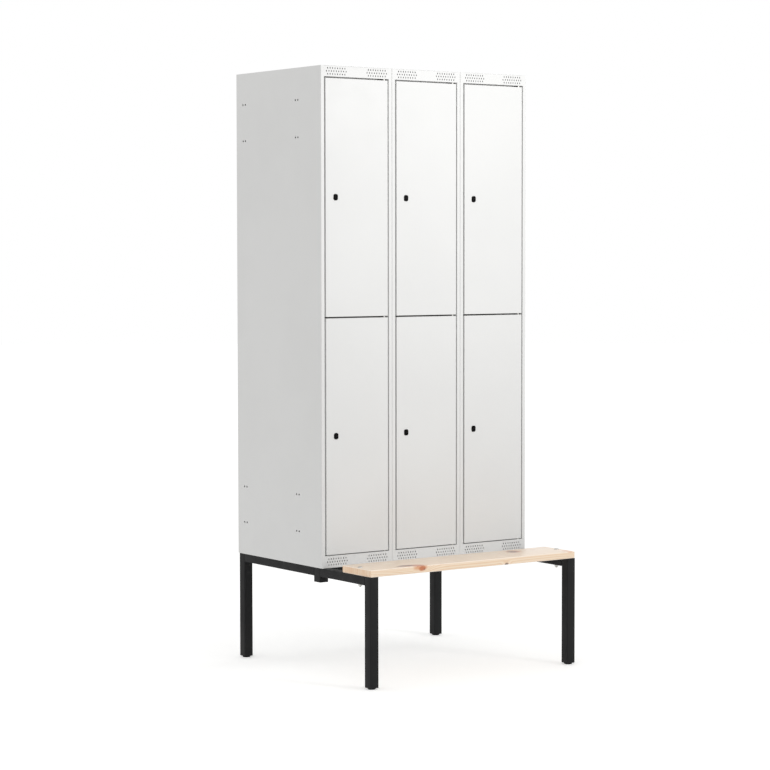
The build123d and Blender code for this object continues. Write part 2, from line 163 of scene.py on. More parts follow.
class LockerStage(bpy.types.PropertyGroup):
    """Camera, lamps, sky and floor."""

    lens: number_setting("Lens", 111.996, "Focal length on a 36 mm wide sensor, in millimetres")
    camera_place: place_setting(
        "Camera place", (-5.0401, -7.0153, 1.4832), "Where the camera stands"
    )
    camera_heading: angle_setting("Camera heading", 0.6145, "Turn from the Y axis towards X")
    camera_dip: angle_setting("Camera dip", 0.0557, "Angle below the horizon")
    camera_roll: angle_setting("Camera roll", 0.0012, "Turn about the line of sight")
    key_place: place_setting("Key lamp place", (2.0, -5.0, 3.4), "Lamp high in front at the right")
    key_aim: place_setting("Key lamp aim", (0.1, 0.0, 1.9), "Point that the key lamp looks at")
    key_size: length_setting("Key lamp size", 1.2, "Side of the square key lamp")
    key_power: number_setting("Key lamp", 12.3, "Power of the key lamp, in watts")
    key_spread: angle_setting(
        "Key lamp spread", math.radians(48), "Angle to which a grid narrows the key lamp"
    )
    side_place: place_setting("Side lamp place", (-4.5, 0.6, 1.8), "Lamp at the left")
    side_aim: place_setting("Side lamp aim", (0.0, 0.1, 1.2), "Point that the side lamp looks at")
    side_size: length_setting("Side lamp size", 2.5, "Side of the square side lamp")
    side_power: number_setting("Side lamp", 9.5, "Power of the side lamp, in watts")
    side_spread: angle_setting("Side lamp spread", math.pi, "Full spread, with no grid")
    sky: number_setting("Sky", 0.8, "Strength of the even light from all round")
    floor: colour_setting("Floor", "#F2F2F1", "Pale studio floor")
    floor_shade: colour_setting("Floor shade", "#EFEFEE", "The same floor where it is worn")
    floor_glow: number_setting(
        "Floor glow", 0.36, "White that is seen in the floor on top of its own light"
    )


# Surfaces

# Points round a turned or six-sided piece, a rounded box at equal angles, a seat bolt or its
# washer, a cam's stud and the floor.
ROUND, BOX_ROUND, BOLT_ROUND, STUD_ROUND, FLOOR_ROUND = 48, 64, 40, 36, 96
# Points nearer than this are merged, shorter edges than this are dropped, and edges that turn by
# more than this are drawn sharp.
MERGE, SLIVER, SHARP = 0.01 * MM, 0.001 * MM, math.radians(32)


def even_angles(count):
    """Equal steps of angle round a whole turn, from zero."""
    return np.arange(count) * math.tau / count


def ways(angle):
    """Unit vectors (cos a, sin a) at each angle a."""
    return np.stack([np.cos(angle), np.sin(angle)], -1)


def circle(radius, count):
    """Points of a circle: r (cos a, sin a) for equal steps of a."""
    return radius * ways(even_angles(count))


def rounded_box(width, height, corner, inset=0.0, steps=5):
    """Points of a rectangle whose corners are arcs: each corner's centre plus r (cos a, sin a).

    An inset draws the sides in, and takes as much off the corners' radius.
    """
    corner = corner - inset
    quarter = np.linspace(0, math.pi / 2, steps + 1)
    angle = (np.arange(4)[:, None] * math.pi / 2 + quarter).ravel()
    signs = np.repeat(np.array([(1, 1), (-1, 1), (-1, -1), (1, -1)]), steps + 1, axis=0)
    centre = signs * (np.array([width, height]) / 2 - inset - corner)
    return centre + corner * ways(angle)


def even_box(width, height, corner, inset=0.0):
    """Points of such a rectangle at equal angles: each angle's ray meets a side or an arc.

    A side x = w is met at w / |cos a|. An arc of radius r round a centre C is met at
    t = d.C + sqrt((d.C)^2 - C.C + r^2), d being the ray's direction.
    """
    corner = corner - inset
    half = np.array([width, height]) / 2 - inset
    way = ways(even_angles(BOX_ROUND))
    centre = half - corner
    ahead = np.maximum(np.abs(way), 1e-9)
    side = half / ahead
    along = ahead @ centre
    arc = along + np.sqrt(np.clip(along**2 - centre @ centre + corner**2, 0, None))
    on_side = side * ahead[:, ::-1] <= centre[::-1]
    distance = np.where(on_side[:, 0], side[:, 0], np.where(on_side[:, 1], side[:, 1], arc))
    return way * distance[:, None]


def hexagon(flat):
    """Points of a hexagon at equal angles a: r = flat / cos(a from the nearest flat's middle)."""
    angle = even_angles(ROUND)
    from_flat = np.mod(angle, math.pi / 3) - math.pi / 6
    return (flat / np.cos(from_flat))[:, None] * ways(angle)


def reach(outline, radius):
    """The same directions as an outline's points, all at one radius."""
    return outline / np.linalg.norm(outline, axis=1, keepdims=True) * radius


def loft(rings, origin=(0, 0, 0), across=X, up=Y, along=Z, wrap=False):
    """Skin through outlines: P(u, k) = origin + x_k(u) across + y_k(u) up + d_k(u) along.

    Each ring is (outline, distance), a distance being one number or one for each point. A wrapped
    loft joins its last ring to its first. Gives the grid and whether its rows and columns close.
    """
    flat = np.stack([outline for outline, _ in rings], 1)
    depth = np.stack([np.broadcast_to(distance, len(flat)) for _, distance in rings], 1)
    points = np.asarray(origin) + flat[..., :1] * across + flat[..., 1:] * up
    return points + depth[..., None] * along, True, wrap


def capped(rings):
    """Rings with a point at each end, on the line through the outlines' middles."""
    first, last = rings[0], rings[-1]
    return [(first[0] * 0, first[1]), *rings, (last[0] * 0, last[1])]


def turned(profile, count=ROUND):
    """Rings of a turned piece: a circle at each (radius, height) in millimetres of its profile."""
    return [(circle(radius * MM, count), height * MM) for radius, height in profile]


def grid_quads(rows, columns, wrap_rows, wrap_columns):
    """Corner numbers of the quads of a grid whose points are numbered row by row."""
    i = np.arange(rows if wrap_rows else rows - 1)[:, None]
    j = np.arange(columns if wrap_columns else columns - 1)[None, :]
    right, down = (i + 1) % rows, (j + 1) % columns
    corners = [i * columns + j, right * columns + j, right * columns + down, i * columns + down]
    return np.stack(np.broadcast_arrays(*corners), -1).reshape(-1, 4)


def mesh_of(name, grids):
    """Mesh of several grids, each with whether its rows and its columns close."""
    points, faces, count = [], [], 0
    for grid, wrap_rows, wrap_columns in grids:
        points.append(grid.reshape(-1, 3))
        faces.append(grid_quads(*grid.shape[:2], wrap_rows, wrap_columns) + count)
        count += len(points[-1])
    mesh = bpy.data.meshes.new(name)
    mesh.from_pydata(np.concatenate(points).tolist(), [], np.concatenate(faces).tolist())
    return mesh


def put(name, grids, material, body, slot, *replaced):
    """Make a piece from its grids, with doubled points merged and every face turned outwards."""
    mesh = mesh_of(name, grids)
    made = bmesh.new()
    made.from_mesh(mesh)
    bmesh.ops.remove_doubles(made, verts=made.verts, dist=MERGE)
    bmesh.ops.dissolve_degenerate(made, edges=made.edges, dist=SLIVER)
    bmesh.ops.recalc_face_normals(made, faces=made.faces)
    made.to_mesh(mesh)
    made.free()
    mesh.shade_smooth()
    mesh.set_sharp_from_angle(angle=SHARP)
    mesh.materials.append(material)
    piece = bpy.data.objects.new(name, mesh)
    bpy.context.scene.collection.objects.link(piece)
    bpy.context.view_layer.update()
    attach(piece, body)
    if replaced:
        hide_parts(*replaced)


# Materials

ADD = {"operation": "ADD"}
SUBTRACT = {"operation": "SUBTRACT"}
TIMES = {"operation": "MULTIPLY"}
DIVIDE = {"operation": "DIVIDE"}
LARGER = {"operation": "MAXIMUM"}
LENGTH = {"operation": "LENGTH"}
PLAIN = {"operation": "ABSOLUTE"}
FRACTION = {"operation": "FRACT"}
SINE = {"operation": "SINE"}
# For a Map Range, whose inputs are a value, the two ends it comes from and the two it goes to.
SMOOTH = {"interpolation_type": "SMOOTHSTEP"}
COLOUR = {"data_type": "RGBA"}

# Noise scales, in patches per metre, beside the size of what they draw. Where a material first
# multiplies the place by a factor for each axis, the patches are that many times shorter that way,
# and for the pine the size given is the one across the board.
COAT_CLOUD = 3.5  # 290 mm, thicker and thinner powder
COAT_SHEEN = 14.0  # 70 mm, uneven gloss
GREY_PEEL = 700.0  # 1.4 mm, orange peel
BLACK_PEEL = 1100.0  # 0.9 mm, the same in a thinner coat
KNOT_RIM = 160.0  # 6 mm, ragged rim of a knot, 18 mm along the board
PINE_DRIFT = 2.2  # 210 mm, slow bends of the rings, 1 m along the board
PINE_FIBRE = 60.0  # 17 mm, bundles of fibres, 560 mm along the board
PINE_THREAD = 900.0  # 1.1 mm, single threads of resin, 93 mm along the board
PINE_BAND = 90.0  # 11 mm, bands in the end grain
NYLON_GRAIN = 2600.0  # 0.4 mm, spark-eroded mould
NYLON_SHEEN = 90.0  # 11 mm, rubbed places
ZINC_CLOUD = 130.0  # 8 mm, dull clouds
ZINC_RUB = 900.0  # 1.1 mm, rub marks of the barrel, 7 mm long
FLOOR_PATCH = 1.5  # 670 mm, worn paint

# Roughness, orange peel, how deep the peel looks, and specular level of the two powder coats.
GREY_COAT = {"rough": 0.42, "peel": GREY_PEEL, "strength": 0.10, "specular": 0.5}
BLACK_COAT = {"rough": 0.58, "peel": BLACK_PEEL, "strength": 0.25, "specular": 0.2}
# Specular level of the nylon: its glass fibres leave a dull skin.
NYLON_SPECULAR = 0.06
# Roughness of bright and of blackened plate.
ZINC_ROUGH, COVER_ROUGH = 0.34, 0.4


def node(tree, kind, settings, inputs, out=0):
    """Add a shader node, set its attributes, set or link its inputs, and give one output.

    Inputs are a list in the node's order, or a dictionary by the input's name or number.
    """
    made = tree.nodes.new("ShaderNode" + kind)
    for key, value in settings.items():
        setattr(made, key, value)
    for key, value in inputs.items() if isinstance(inputs, dict) else enumerate(inputs):
        if isinstance(value, bpy.types.NodeSocket):
            tree.links.new(value, made.inputs[key])
        else:
            made.inputs[key].default_value = value
    return made.outputs[out] if made.outputs else None


def fresh(name):
    """Empty material and its tree, with Object coordinates."""
    material = bpy.data.materials.new(name)
    material.use_nodes = True
    tree = material.node_tree
    tree.nodes.clear()
    return material, tree, node(tree, "TexCoord", {}, [], "Object")


def powder_coat(name, colour, shade, rough, peel, strength, specular):
    """Polyester powder coat on steel, sprayed dry and baked: soft sheen over a fine orange peel.

    The peel's real grain is about 0.3 mm, and is drawn three to five times as coarse so that it
    shows.
    """
    material, tree, place = fresh(name)
    cloudy = node(tree, "TexNoise", {}, {"Vector": place, "Scale": COAT_CLOUD, "Detail": 2.0})
    grain = node(tree, "TexNoise", {}, {
        "Vector": place, "Scale": peel, "Detail": 2.0, "Roughness": 0.6,
    })
    sheen = node(tree, "TexNoise", {}, {"Vector": place, "Scale": COAT_SHEEN, "Detail": 4.0})
    thin = node(tree, "MapRange", SMOOTH, [cloudy, 0.35, 0.7, 0.0, 1.0])
    gloss = [sheen, 0.3, 0.7, rough - 0.05, rough + 0.06]
    bump = {"Strength": strength, "Distance": 0.2 * MM, "Height": grain}
    shader = node(tree, "BsdfPrincipled", {}, {
        "Base Color": node(tree, "Mix", COLOUR, {0: thin, 6: colour, 7: shade}, 2),
        "Roughness": node(tree, "MapRange", SMOOTH, gloss),
        "Normal": node(tree, "Bump", {}, bump),
        "Specular IOR Level": specular,
    })
    node(tree, "OutputMaterial", {}, [shader])
    return material


# Knots of the seat board: where they show, in metres, how far they reach along, across and down
# the board, and the tone of the wood there. A branch that was sawn lengthways shows a pale flare,
# a core and a bark line.
KNOTS = (
    ((-0.238, -0.4205, 0.4030), (0.036, 0.0500, 0.0120), "knot_flare"),
    ((-0.230, -0.4205, 0.3990), (0.018, 0.0160, 0.0105), "knot_core"),
    ((-0.2225, -0.4205, 0.3955), (0.0040, 0.0060, 0.0025), "knot_bark"),
    ((-0.244, -0.4060, 0.4080), (0.030, 0.0200, 0.0060), "knot_core"),
    ((-0.274, -0.3930, 0.4080), (0.046, 0.0210, 0.0050), "knot_core"),
    ((-0.280, -0.3900, 0.4080), (0.042, 0.0160, 0.0050), "knot_bark"),
    ((0.262, -0.3000, 0.4080), (0.036, 0.0320, 0.0070), "knot_flare"),
    ((0.258, -0.3020, 0.4080), (0.028, 0.0280, 0.0070), "knot_core"),
    ((0.254, -0.3040, 0.4080), (0.023, 0.0240, 0.0060), "knot_bark"),
    ((0.136, -0.4205, 0.3850), (0.0100, 0.0080, 0.0060), "knot_bark"),
    ((0.426, -0.4000, 0.4080), (0.018, 0.0300, 0.0080), "knot_flare"),
    ((-0.100, -0.3300, 0.3830), (0.016, 0.0140, 0.0080), "knot_flare"),
    ((-0.102, -0.3300, 0.3830), (0.011, 0.0090, 0.0080), "knot_core"),
)
# How far each tone covers the wood under it, from the palest to the darkest.
KNOT_WEIGHT = {"knot_flare": 0.85, "knot_core": 1.0, "knot_bark": 0.95}
# Radians of a knot's own rings from its middle to its rim.
KNOT_RINGS = 26.0
# Pith of the tree that the board was sawn from, across and up, and the spacing of its rings.
PITH_Y, PITH_Z, RING = -0.300, 0.335, 3.4 * MM
# How far the rings stray: slowly along the board, round a knot, and from fibre to fibre.
DRIFT, BEND, FRAY = 34 * MM, 3.5 * MM, 0.9 * MM


def pine_knots(tree, place):
    """Cover of each tone of the knots, and how far the knots bend the rings near them."""
    lengthways = node(tree, "VectorMath", TIMES, [place, (0.35, 1.0, 1.0)])
    rough = node(tree, "TexNoise", {}, {"Vector": lengthways, "Scale": KNOT_RIM, "Detail": 3.0})
    ragged = node(tree, "Math", TIMES, [rough, 0.5])
    bend, knots = 0.0, {}
    for centre, size, tone in KNOTS:
        away = node(tree, "VectorMath", SUBTRACT, [place, centre])
        away = node(tree, "VectorMath", DIVIDE, [away, size])
        far = node(tree, "VectorMath", LENGTH, [away], "Value")
        near = node(tree, "MapRange", SMOOTH, [far, 3.2, 0.4, 0.0, BEND])
        bend = node(tree, "Math", ADD, [near, bend])
        rim = node(tree, "Math", ADD, [far, ragged])
        rings = node(tree, "Math", SINE, [node(tree, "Math", TIMES, [rim, KNOT_RINGS])])
        rings = node(tree, "MapRange", SMOOTH, [rings, -1.0, 1.0, 0.75, 1.0])
        inside = node(tree, "MapRange", SMOOTH, [rim, 1.35, 0.75, 0.0, KNOT_WEIGHT[tone]])
        inside = node(tree, "Math", TIMES, [inside, rings])
        knots[tone] = node(tree, "Math", LARGER, [inside, knots.get(tone, 0.0)])
    return knots, bend


def pine_rings(tree, place, bend, drift, streak):
    """Share of summer wood: it rises slowly through each ring and ends at once, as in the tree."""
    y = node(tree, "SeparateXYZ", {}, [place], 1)
    z = node(tree, "SeparateXYZ", {}, [place], 2)
    fibres = node(tree, "VectorMath", TIMES, [place, (0.03, 1.0, 1.0)])
    fine = node(tree, "TexNoise", {}, {"Vector": fibres, "Scale": PINE_FIBRE, "Detail": 3.0})
    across = node(tree, "CombineXYZ", {}, {
        "Y": node(tree, "Math", SUBTRACT, [y, PITH_Y]),
        "Z": node(tree, "Math", SUBTRACT, [z, PITH_Z]),
    })
    radius = node(tree, "VectorMath", LENGTH, [across], "Value")
    strays = (
        node(tree, "Math", TIMES, [drift, DRIFT]), bend, node(tree, "Math", TIMES, [fine, FRAY]),
    )
    for stray in strays:
        radius = node(tree, "Math", ADD, [radius, stray])
    turn = node(tree, "Math", FRACTION, [node(tree, "Math", DIVIDE, [radius, RING])])
    rise = node(tree, "MapRange", SMOOTH, [turn, 0.25, 0.86, 0.0, 1.0])
    fall = node(tree, "MapRange", SMOOTH, [turn, 1.0, 0.92, 0.0, 1.0])
    late = node(tree, "Math", TIMES, [rise, fall])
    wide = node(tree, "MapRange", SMOOTH, [drift, 0.25, 0.75, 0.3, 0.7])
    late = node(tree, "Math", TIMES, [late, wide])
    threads = node(tree, "MapRange", SMOOTH, [streak, 0.35, 0.75, 0.0, 0.16])
    return node(tree, "Math", ADD, [late, threads])


def lacquered_pine(name, finish):
    """Scots pine board, planed and clear lacquered: pale wood, amber rings, red-brown knots.

    The rings are circles round a pith 48 mm under the board, 3.4 mm apart, so the top shows long
    flames, the front edge straight lines and the ends arcs. Near a knot they bend round it. The
    rounded edges are painted paler, as a highlight, and the ends, whose open pores take more
    lacquer, darker.
    """
    material, tree, place = fresh(name)
    knots, bend = pine_knots(tree, place)
    stretched = node(tree, "VectorMath", TIMES, [place, (0.45, 2.2, 2.2)])
    drift = node(tree, "TexNoise", {}, {"Vector": stretched, "Scale": PINE_DRIFT, "Detail": 2.0})
    threads = node(tree, "VectorMath", TIMES, [place, (0.012, 1.0, 1.0)])
    streak = node(tree, "TexNoise", {}, {"Vector": threads, "Scale": PINE_THREAD, "Detail": 2.0})
    late = pine_rings(tree, place, bend, drift, streak)

    # The faces' own directions tell the ends and the rounded edges from the flats, and the rounded
    # edges get a painted highlight.
    faces = node(tree, "VectorMath", PLAIN, [node(tree, "NewGeometry", {}, [], "Normal")])
    ends, flats = (node(tree, "SeparateXYZ", {}, [faces], i) for i in (0, 2))
    slope = node(tree, "Math", TIMES, [flats, node(tree, "Math", SUBTRACT, [1.0, flats])])
    edge = node(tree, "MapRange", SMOOTH, [slope, 0.05, 0.2, 0.0, 0.75])
    upright = node(tree, "VectorMath", TIMES, [place, (0.0, 1.0, 0.2)])
    bands = node(tree, "TexNoise", {}, {"Vector": upright, "Scale": PINE_BAND, "Detail": 1.0})
    end = node(tree, "Math", TIMES, [
        node(tree, "MapRange", SMOOTH, [ends, 0.85, 0.985, 0.0, 1.0]),
        node(tree, "MapRange", SMOOTH, [bands, 0.3, 0.7, 0.25, 0.9]),
    ])
    late = node(tree, "Math", ADD, [late, end])
    base = node(tree, "Mix", COLOUR, {0: late, 6: finish.pine, 7: finish.pine_ring}, 2)
    # Painted highlight: the rounded edges are mixed towards a paler colour.
    base = node(tree, "Mix", COLOUR, {0: edge, 6: base, 7: finish.pine_edge_highlight}, 2)
    for tone in KNOT_WEIGHT:
        base = node(tree, "Mix", COLOUR, {0: knots[tone], 6: base, 7: getattr(finish, tone)}, 2)
    height = node(tree, "Math", ADD, [late, node(tree, "Math", TIMES, [streak, 0.4])])
    bump = {"Strength": 0.12, "Distance": 0.15 * MM, "Height": height}
    shader = node(tree, "BsdfPrincipled", {}, {
        "Base Color": base,
        "Roughness": node(tree, "MapRange", SMOOTH, [late, 0.0, 1.0, 0.44, 0.36]),
        "Normal": node(tree, "Bump", {}, bump),
        "Coat Weight": 1.0,
        "Coat Roughness": 0.3,
    })
    node(tree, "OutputMaterial", {}, [shader])
    return material


def moulded_nylon(name, colour, bloom):
    """Glass-filled nylon as moulded: near black, a spark-eroded grain and an uneven dull sheen.

    The grain is about 0.1 mm in the real one, and is drawn as 0.4 mm so that it shows.
    """
    material, tree, place = fresh(name)
    grain = node(tree, "TexNoise", {}, {"Vector": place, "Scale": NYLON_GRAIN, "Detail": 2.0})
    sheen = node(tree, "TexNoise", {}, {"Vector": place, "Scale": NYLON_SHEEN, "Detail": 3.0})
    rubbed = node(tree, "MapRange", SMOOTH, [sheen, 0.35, 0.8, 0.0, 1.0])
    bump = {"Strength": 0.15, "Distance": 0.1 * MM, "Height": grain}
    shader = node(tree, "BsdfPrincipled", {}, {
        "Base Color": node(tree, "Mix", COLOUR, {0: rubbed, 6: colour, 7: bloom}, 2),
        "Roughness": node(tree, "MapRange", SMOOTH, [sheen, 0.3, 0.7, 0.42, 0.56]),
        "Normal": node(tree, "Bump", {}, bump),
        "Specular IOR Level": NYLON_SPECULAR,
    })
    node(tree, "OutputMaterial", {}, [shader])
    return material


def zinc_plate(name, colour, cloud, rough):
    """Zinc-plated steel, barrel plated: grey metal with dull clouds and short rub marks."""
    material, tree, place = fresh(name)
    clouds = node(tree, "TexNoise", {}, {"Vector": place, "Scale": ZINC_CLOUD, "Detail": 4.0})
    lengthways = node(tree, "VectorMath", TIMES, [place, (1.0, 1.0, 0.15)])
    rubs = node(tree, "TexNoise", {}, {"Vector": lengthways, "Scale": ZINC_RUB, "Detail": 3.0})
    dull = node(tree, "MapRange", SMOOTH, [clouds, 0.35, 0.75, 0.0, 1.0])
    gloss = [rubs, 0.3, 0.7, rough - 0.08, rough + 0.1]
    bump = {"Strength": 0.1, "Distance": 0.05 * MM, "Height": rubs}
    shader = node(tree, "BsdfPrincipled", {}, {
        "Base Color": node(tree, "Mix", COLOUR, {0: dull, 6: colour, 7: cloud}, 2),
        "Metallic": 1.0,
        "Roughness": node(tree, "MapRange", SMOOTH, gloss),
        "Normal": node(tree, "Bump", {}, bump),
    })
    node(tree, "OutputMaterial", {}, [shader])
    return material


def seen_ray(tree):
    """One for a ray from the camera or off a glossy or clear surface, otherwise nothing."""
    kinds = ("Camera", "Glossy", "Transmission")
    rays = [node(tree, "LightPath", {}, [], f"Is {kind} Ray") for kind in kinds]
    return node(tree, "Math", LARGER, [node(tree, "Math", LARGER, rays[:2]), rays[2]])


def studio_floor(name, stage):
    """Matt painted studio floor, as bright as plain white but for the locker's soft shadow."""
    material, tree, place = fresh(name)
    patch = node(tree, "TexNoise", {}, {"Vector": place, "Scale": FLOOR_PATCH, "Detail": 2.0})
    paint = node(tree, "Mix", COLOUR, {0: patch, 6: stage.floor, 7: stage.floor_shade}, 2)
    matt = node(tree, "BsdfDiffuse", {}, {"Color": paint})
    strength = node(tree, "Math", TIMES, [seen_ray(tree), stage.floor_glow])
    glow = node(tree, "Emission", {}, {"Strength": strength})
    node(tree, "OutputMaterial", {}, [node(tree, "AddShader", {}, [matt, glow])])
    return material


def finishes():
    """The object's materials by name, made once."""
    f = bpy.context.scene.locker_finish
    makers = {
        "powder_coat_light_grey": (powder_coat, (f.paint, f.paint_shade), GREY_COAT),
        "powder_coat_black": (powder_coat, (f.stand, f.stand_shade), BLACK_COAT),
        "lacquered_pine": (lacquered_pine, (f,), {}),
        "moulded_black_nylon": (moulded_nylon, (f.plastic, f.plastic_bloom), {}),
        "zinc_plated_steel": (zinc_plate, (f.zinc, f.zinc_cloud), {"rough": ZINC_ROUGH}),
        "blackened_key_cover": (
            zinc_plate, (f.key_cover, f.plastic_bloom), {"rough": COVER_ROUGH},
        ),
    }
    return {
        name: bpy.data.materials.get(name) or make(name, *colours, **surface)
        for name, (make, colours, surface) in makers.items()
    }


SLOT_FINISH = {
    "carcass_steel": "powder_coat_light_grey",
    "door_steel": "powder_coat_light_grey",
    "stand_steel": "powder_coat_black",
    "seat_pine": "lacquered_pine",
    "black_plastic": "moulded_black_nylon",
    "lock_black": "moulded_black_nylon",
    "zinc_steel": "zinc_plated_steel",
}


class LOCKER_OT_paint_frame(bpy.types.Operator):
    """Give every solid of the frame the finish of its material slot"""

    bl_idname = "locker.paint_frame"
    bl_label = "Paint the frame"

    def execute(self, context):
        made = finishes()
        for row in frame["record"]["subparts"]:
            solid = frame["nodes"][row["node"]]
            finish = made[SLOT_FINISH[row["material_slot"]]]
            if not solid.material_slots:
                solid.data.materials.append(finish)
            for place in solid.material_slots:
                place.material = finish
        return {"FINISHED"}


# Stand

# Share of a tube's width that a weld runs along, and points along and round it.
WELD_RUN, WELD_POINTS = 0.8, (61, 9)
# Height of a weld's ripples for its leg, and how far its root is sunk into the metal.
WELD_WAVE, WELD_ROOT = 0.12, 0.4 * MM


def tube(low, high, axis, sizes):
    """Thin-walled tube that fills a box: outer outline, a broken edge at each end, and the bore."""
    others = [(1, 2), (2, 0), (0, 1)][axis]
    width, height = (high[a] - low[a] for a in others)
    length, cut = high[axis] - low[axis], sizes.cut_edge
    outer, eased, inner = (
        rounded_box(width, height, sizes.tube_corner, inset) for inset in (0, cut, sizes.tube_wall)
    )
    rings = [
        (inner, 0), (eased, 0), (outer, cut),
        (outer, length - cut), (eased, length), (inner, length),
    ]
    middle = (np.array(low) + high) / 2
    middle[axis] = low[axis]
    unit = (X, Y, Z)
    return loft(rings, middle, unit[others[0]], unit[others[1]], unit[axis], wrap=True)


def post_cap(low, high, sizes):
    """Plate that closes the foot of the post in a box, its edges broken as the tube's are."""
    width, depth = high[0] - low[0], high[1] - low[1]
    cut, thick = sizes.cut_edge, sizes.cap
    outer, eased = (rounded_box(width, depth, sizes.tube_corner, inset) for inset in (0, cut))
    rings = [(eased, 0), (outer, cut), (outer, thick - cut), (eased, thick)]
    return loft(capped(rings), ((low[0] + high[0]) / 2, (low[1] + high[1]) / 2, low[2]))


def weld(corner, along, first, second, length, sizes):
    """Fillet weld in a corner: a bead whose radius ripples along it and tapers at its ends.

    r(s, a) = leg (1 + k |sin(pi s / p)|) sqrt(1 - (2 s / length - 1)^10) / (cos a + sin a)^0.6, s
    running along the weld, a turning from the first way to the second, k being the height of the
    ripples and p their spacing.
    """
    s = np.linspace(0.02, 0.98, WELD_POINTS[0])[:, None] * length
    a = np.linspace(0, math.pi / 2, WELD_POINTS[1])[None, :]
    leg = sizes.weld * (1 + WELD_WAVE * np.abs(np.sin(math.pi * s / sizes.weld_ripple)))
    leg = leg * np.sqrt(np.clip(1 - (2 * s / length - 1) ** 10, 0, 1))
    radius = (leg / (np.cos(a) + np.sin(a)) ** 0.6)[..., None]
    line = s[..., None] * along
    start = corner - along * length / 2
    bead = start + line + radius * (np.cos(a)[..., None] * first + np.sin(a)[..., None] * second)
    root = start - WELD_ROOT * (first + second) + line
    points = np.concatenate([bead, root], axis=1)
    ends = [np.broadcast_to(points[i].mean(0), points[:1].shape) for i in (0, -1)]
    return np.concatenate([ends[0], points, ends[1]]), False, True


class LOCKER_OT_build_stand(bpy.types.Operator):
    """Draw the tubes with rounded corners, thin walls and the welds between them"""

    bl_idname = "locker.build_stand"
    bl_label = "Build the stand"

    def execute(self, context):
        sizes = context.scene.locker_sizes
        paint = finishes()["powder_coat_black"]

        def stand(name, *grids):
            """Piece of the stand that replaces the node of its name."""
            put(f"stand_{name}", grids, paint, CARCASS, "stand_steel", name)

        arm_low, arm_high, _ = span("bench_arm_left")
        under, top = arm_low[2], arm_high[2]
        cross_low, cross_high, _ = span("front_cross_rail")
        post_front = span("side_rail_left")[0][1]
        post_back = cross_low[1] + cross_high[1] - post_front
        welds = []
        for side, inward in zip(SIDES, (1, -1)):
            for name, axis in (("rear_leg", 2), ("bench_leg", 2), ("bench_arm", 1)):
                stand(f"{name}_{side}", tube(*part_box(f"{name}_{side}"), axis, sizes))
            low, high, middle = span(f"side_rail_{side}")
            post_low, post_high = (low[0], post_front, low[2]), (high[0], post_back, top)
            post_foot = (low[0], post_front, low[2] + sizes.cut_edge)
            stand(
                f"side_rail_{side}",
                tube((low[0], post_back, under), (high[0], high[1], top), 1, sizes),
                tube(post_foot, post_high, 2, sizes),
                post_cap(post_low, post_high, sizes),
            )
            bench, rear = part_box(f"bench_leg_{side}"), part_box(f"rear_leg_{side}")
            run = (high[0] - low[0]) * WELD_RUN
            # Under the arm and the rail, where the leg or the post is.
            ends = ((bench[1][1], Y), (post_front, -Y), (post_back, Y), (rear[0][1], -Y))
            for y, way in ends:
                welds.append(weld(np.array((middle[0], y, under)), X, way, -Z, run, sizes))
            # Under the cross rails, where the post or the rear leg is.
            inner = high[0] if inward > 0 else low[0]
            for y in ((post_front + post_back) / 2, (rear[0][1] + rear[1][1]) / 2):
                welds.append(weld(np.array((inner, y, under)), Y, inward * X, -Z, run, sizes))
        for name in ("rear_cross_rail", "front_cross_rail"):
            stand(name, tube(*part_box(name), 0, sizes))
        put("stand_welds", welds, paint, CARCASS, "stand_steel")
        return {"FINISHED"}


# Levelling feet

# Radius and height of the turned foot and its screw, in millimetres.
FOOT = (
    (11.2, 0.5), (11.9, 0.0), (12.6, 0.1), (13.0, 0.6), (14.6, 2.9), (15.3, 3.9),
    (15.4, 4.4), (15.0, 4.9), (4.3, 5.0), (4.0, 5.4), (4.0, 37.4), (3.5, 37.9),
)
# Insert that closes a leg, in millimetres: its play in the leg, its foot and top above the leg's
# end, the radius of its hole and of its corners, and how far its ends are drawn in, with the
# radius of their corners.
INSERT_PLAY, INSERT_FOOT, INSERT_TOP, INSERT_HOLE = 0.2, 0.1, 20.0, 4.1
INSERT_CORNER, INSERT_EASE, EASED_CORNER = 1.5, 0.5, 1.2


def leg_insert(bore, origin):
    """Square insert that closes a leg, with a round hole for the foot's screw."""
    narrow = bore - 2 * INSERT_EASE * MM
    outer = even_box(bore, bore, INSERT_CORNER * MM)
    eased = even_box(narrow, narrow, EASED_CORNER * MM)
    hole = reach(outer, INSERT_HOLE * MM)
    rings = [
        (hole, INSERT_TOP), (eased, INSERT_TOP), (outer, INSERT_TOP - INSERT_EASE),
        (outer, INSERT_FOOT + INSERT_EASE), (eased, INSERT_FOOT), (hole, INSERT_FOOT),
    ]
    return loft([(outline, height * MM) for outline, height in rings], origin, wrap=True)


class LOCKER_OT_build_feet(bpy.types.Operator):
    """Turn the levelling feet and mould the inserts that close the legs"""

    bl_idname = "locker.build_feet"
    bl_label = "Build the levelling feet"

    def execute(self, context):
        sizes = context.scene.locker_sizes
        grids = []
        for leg in (f"{name}_{side}" for name in ("bench_leg", "rear_leg") for side in SIDES):
            low, high, (x, y, _) = span(leg)
            bore = high[0] - low[0] - 2 * sizes.tube_wall - INSERT_PLAY * MM
            grids += [loft(capped(turned(FOOT)), (x, y, 0)), leg_insert(bore, (x, y, low[2]))]
        nylon = finishes()["moulded_black_nylon"]
        put("levelling_feet_turned", grids, nylon, CARCASS, "black_plastic", "levelling_feet")
        return {"FINISHED"}


# Seat

# Steps through a rounded edge of the board, and rings along its length.
EDGE_STEPS, BOARD_RINGS = 6, 40


